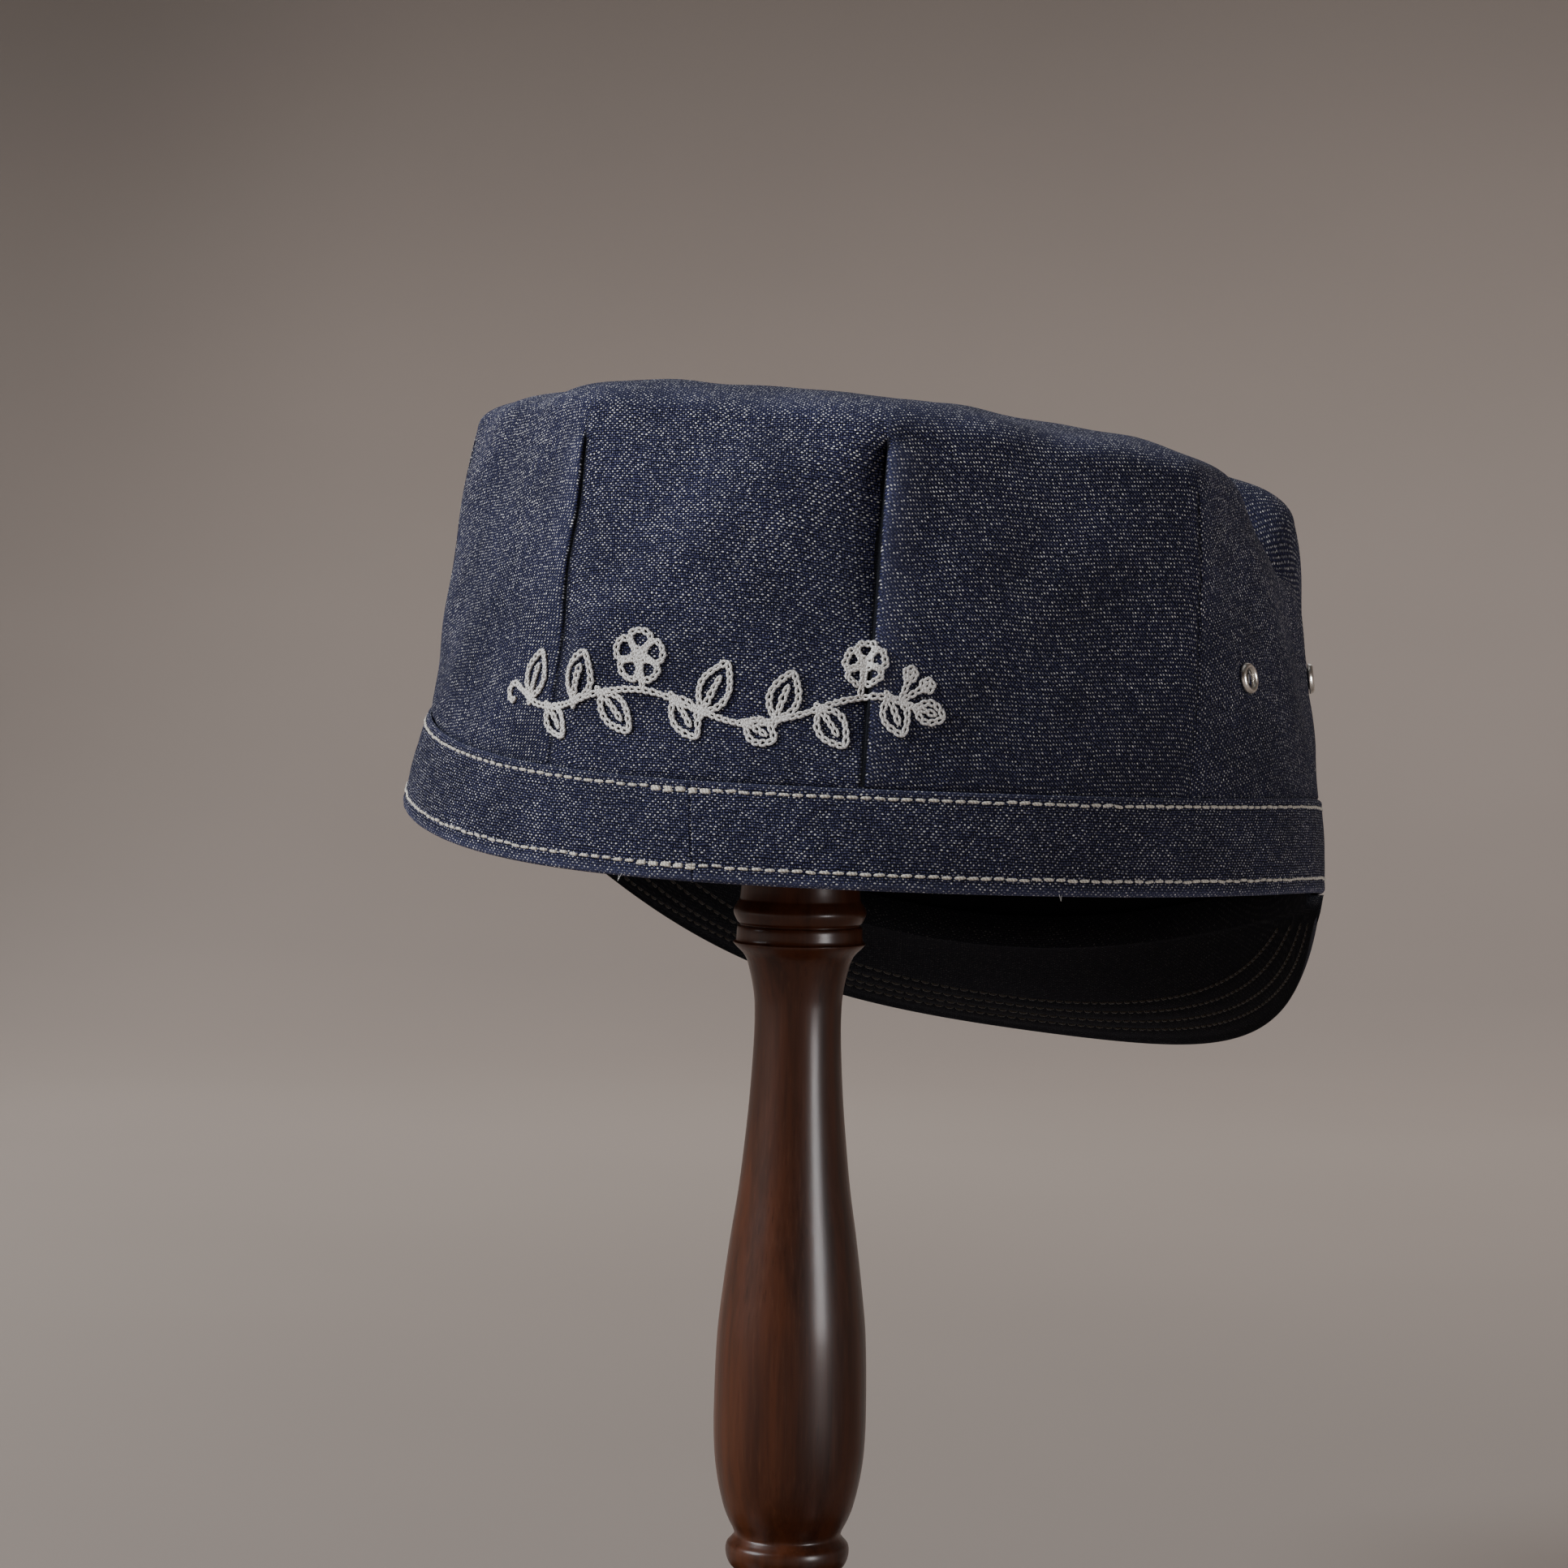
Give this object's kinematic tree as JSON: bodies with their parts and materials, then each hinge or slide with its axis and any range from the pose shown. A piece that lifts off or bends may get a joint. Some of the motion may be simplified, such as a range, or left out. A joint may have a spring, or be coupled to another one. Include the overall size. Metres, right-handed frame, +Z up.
{
  "type": "work cap on hat stand",
  "caption": "Dark denim work cap with a folded drum crown, sewn band, side eyelets and short stiff peak, resting on a turned dark wood hat stand.",
  "frame": {"origin": "middle of the stand's flat underside", "axes": "+Z up along the stand, -Y towards the peak, the cap's front, -X towards the wearer's right"},
  "size_m": [0.1872, 0.2398, 0.2788],
  "materials": {
    "denim": "dark indigo cotton denim with white weft dots",
    "under_denim": "near-black indigo denim over a stiff board",
    "nickel": "rolled bright nickel",
    "dark_wood": "dark reddish-brown, lacquered"
  },
  "bodies": {
    "root": {"crown": "denim", "band": "denim", "peak": "under_denim", "eyelet_right_back": "nickel", "eyelet_left_back": "nickel", "eyelet_right_front": "nickel", "eyelet_left_front": "nickel", "stand_foot": "dark_wood", "stand_post": "dark_wood", "stand_knob": "dark_wood"}
  },
  "joints": []
}
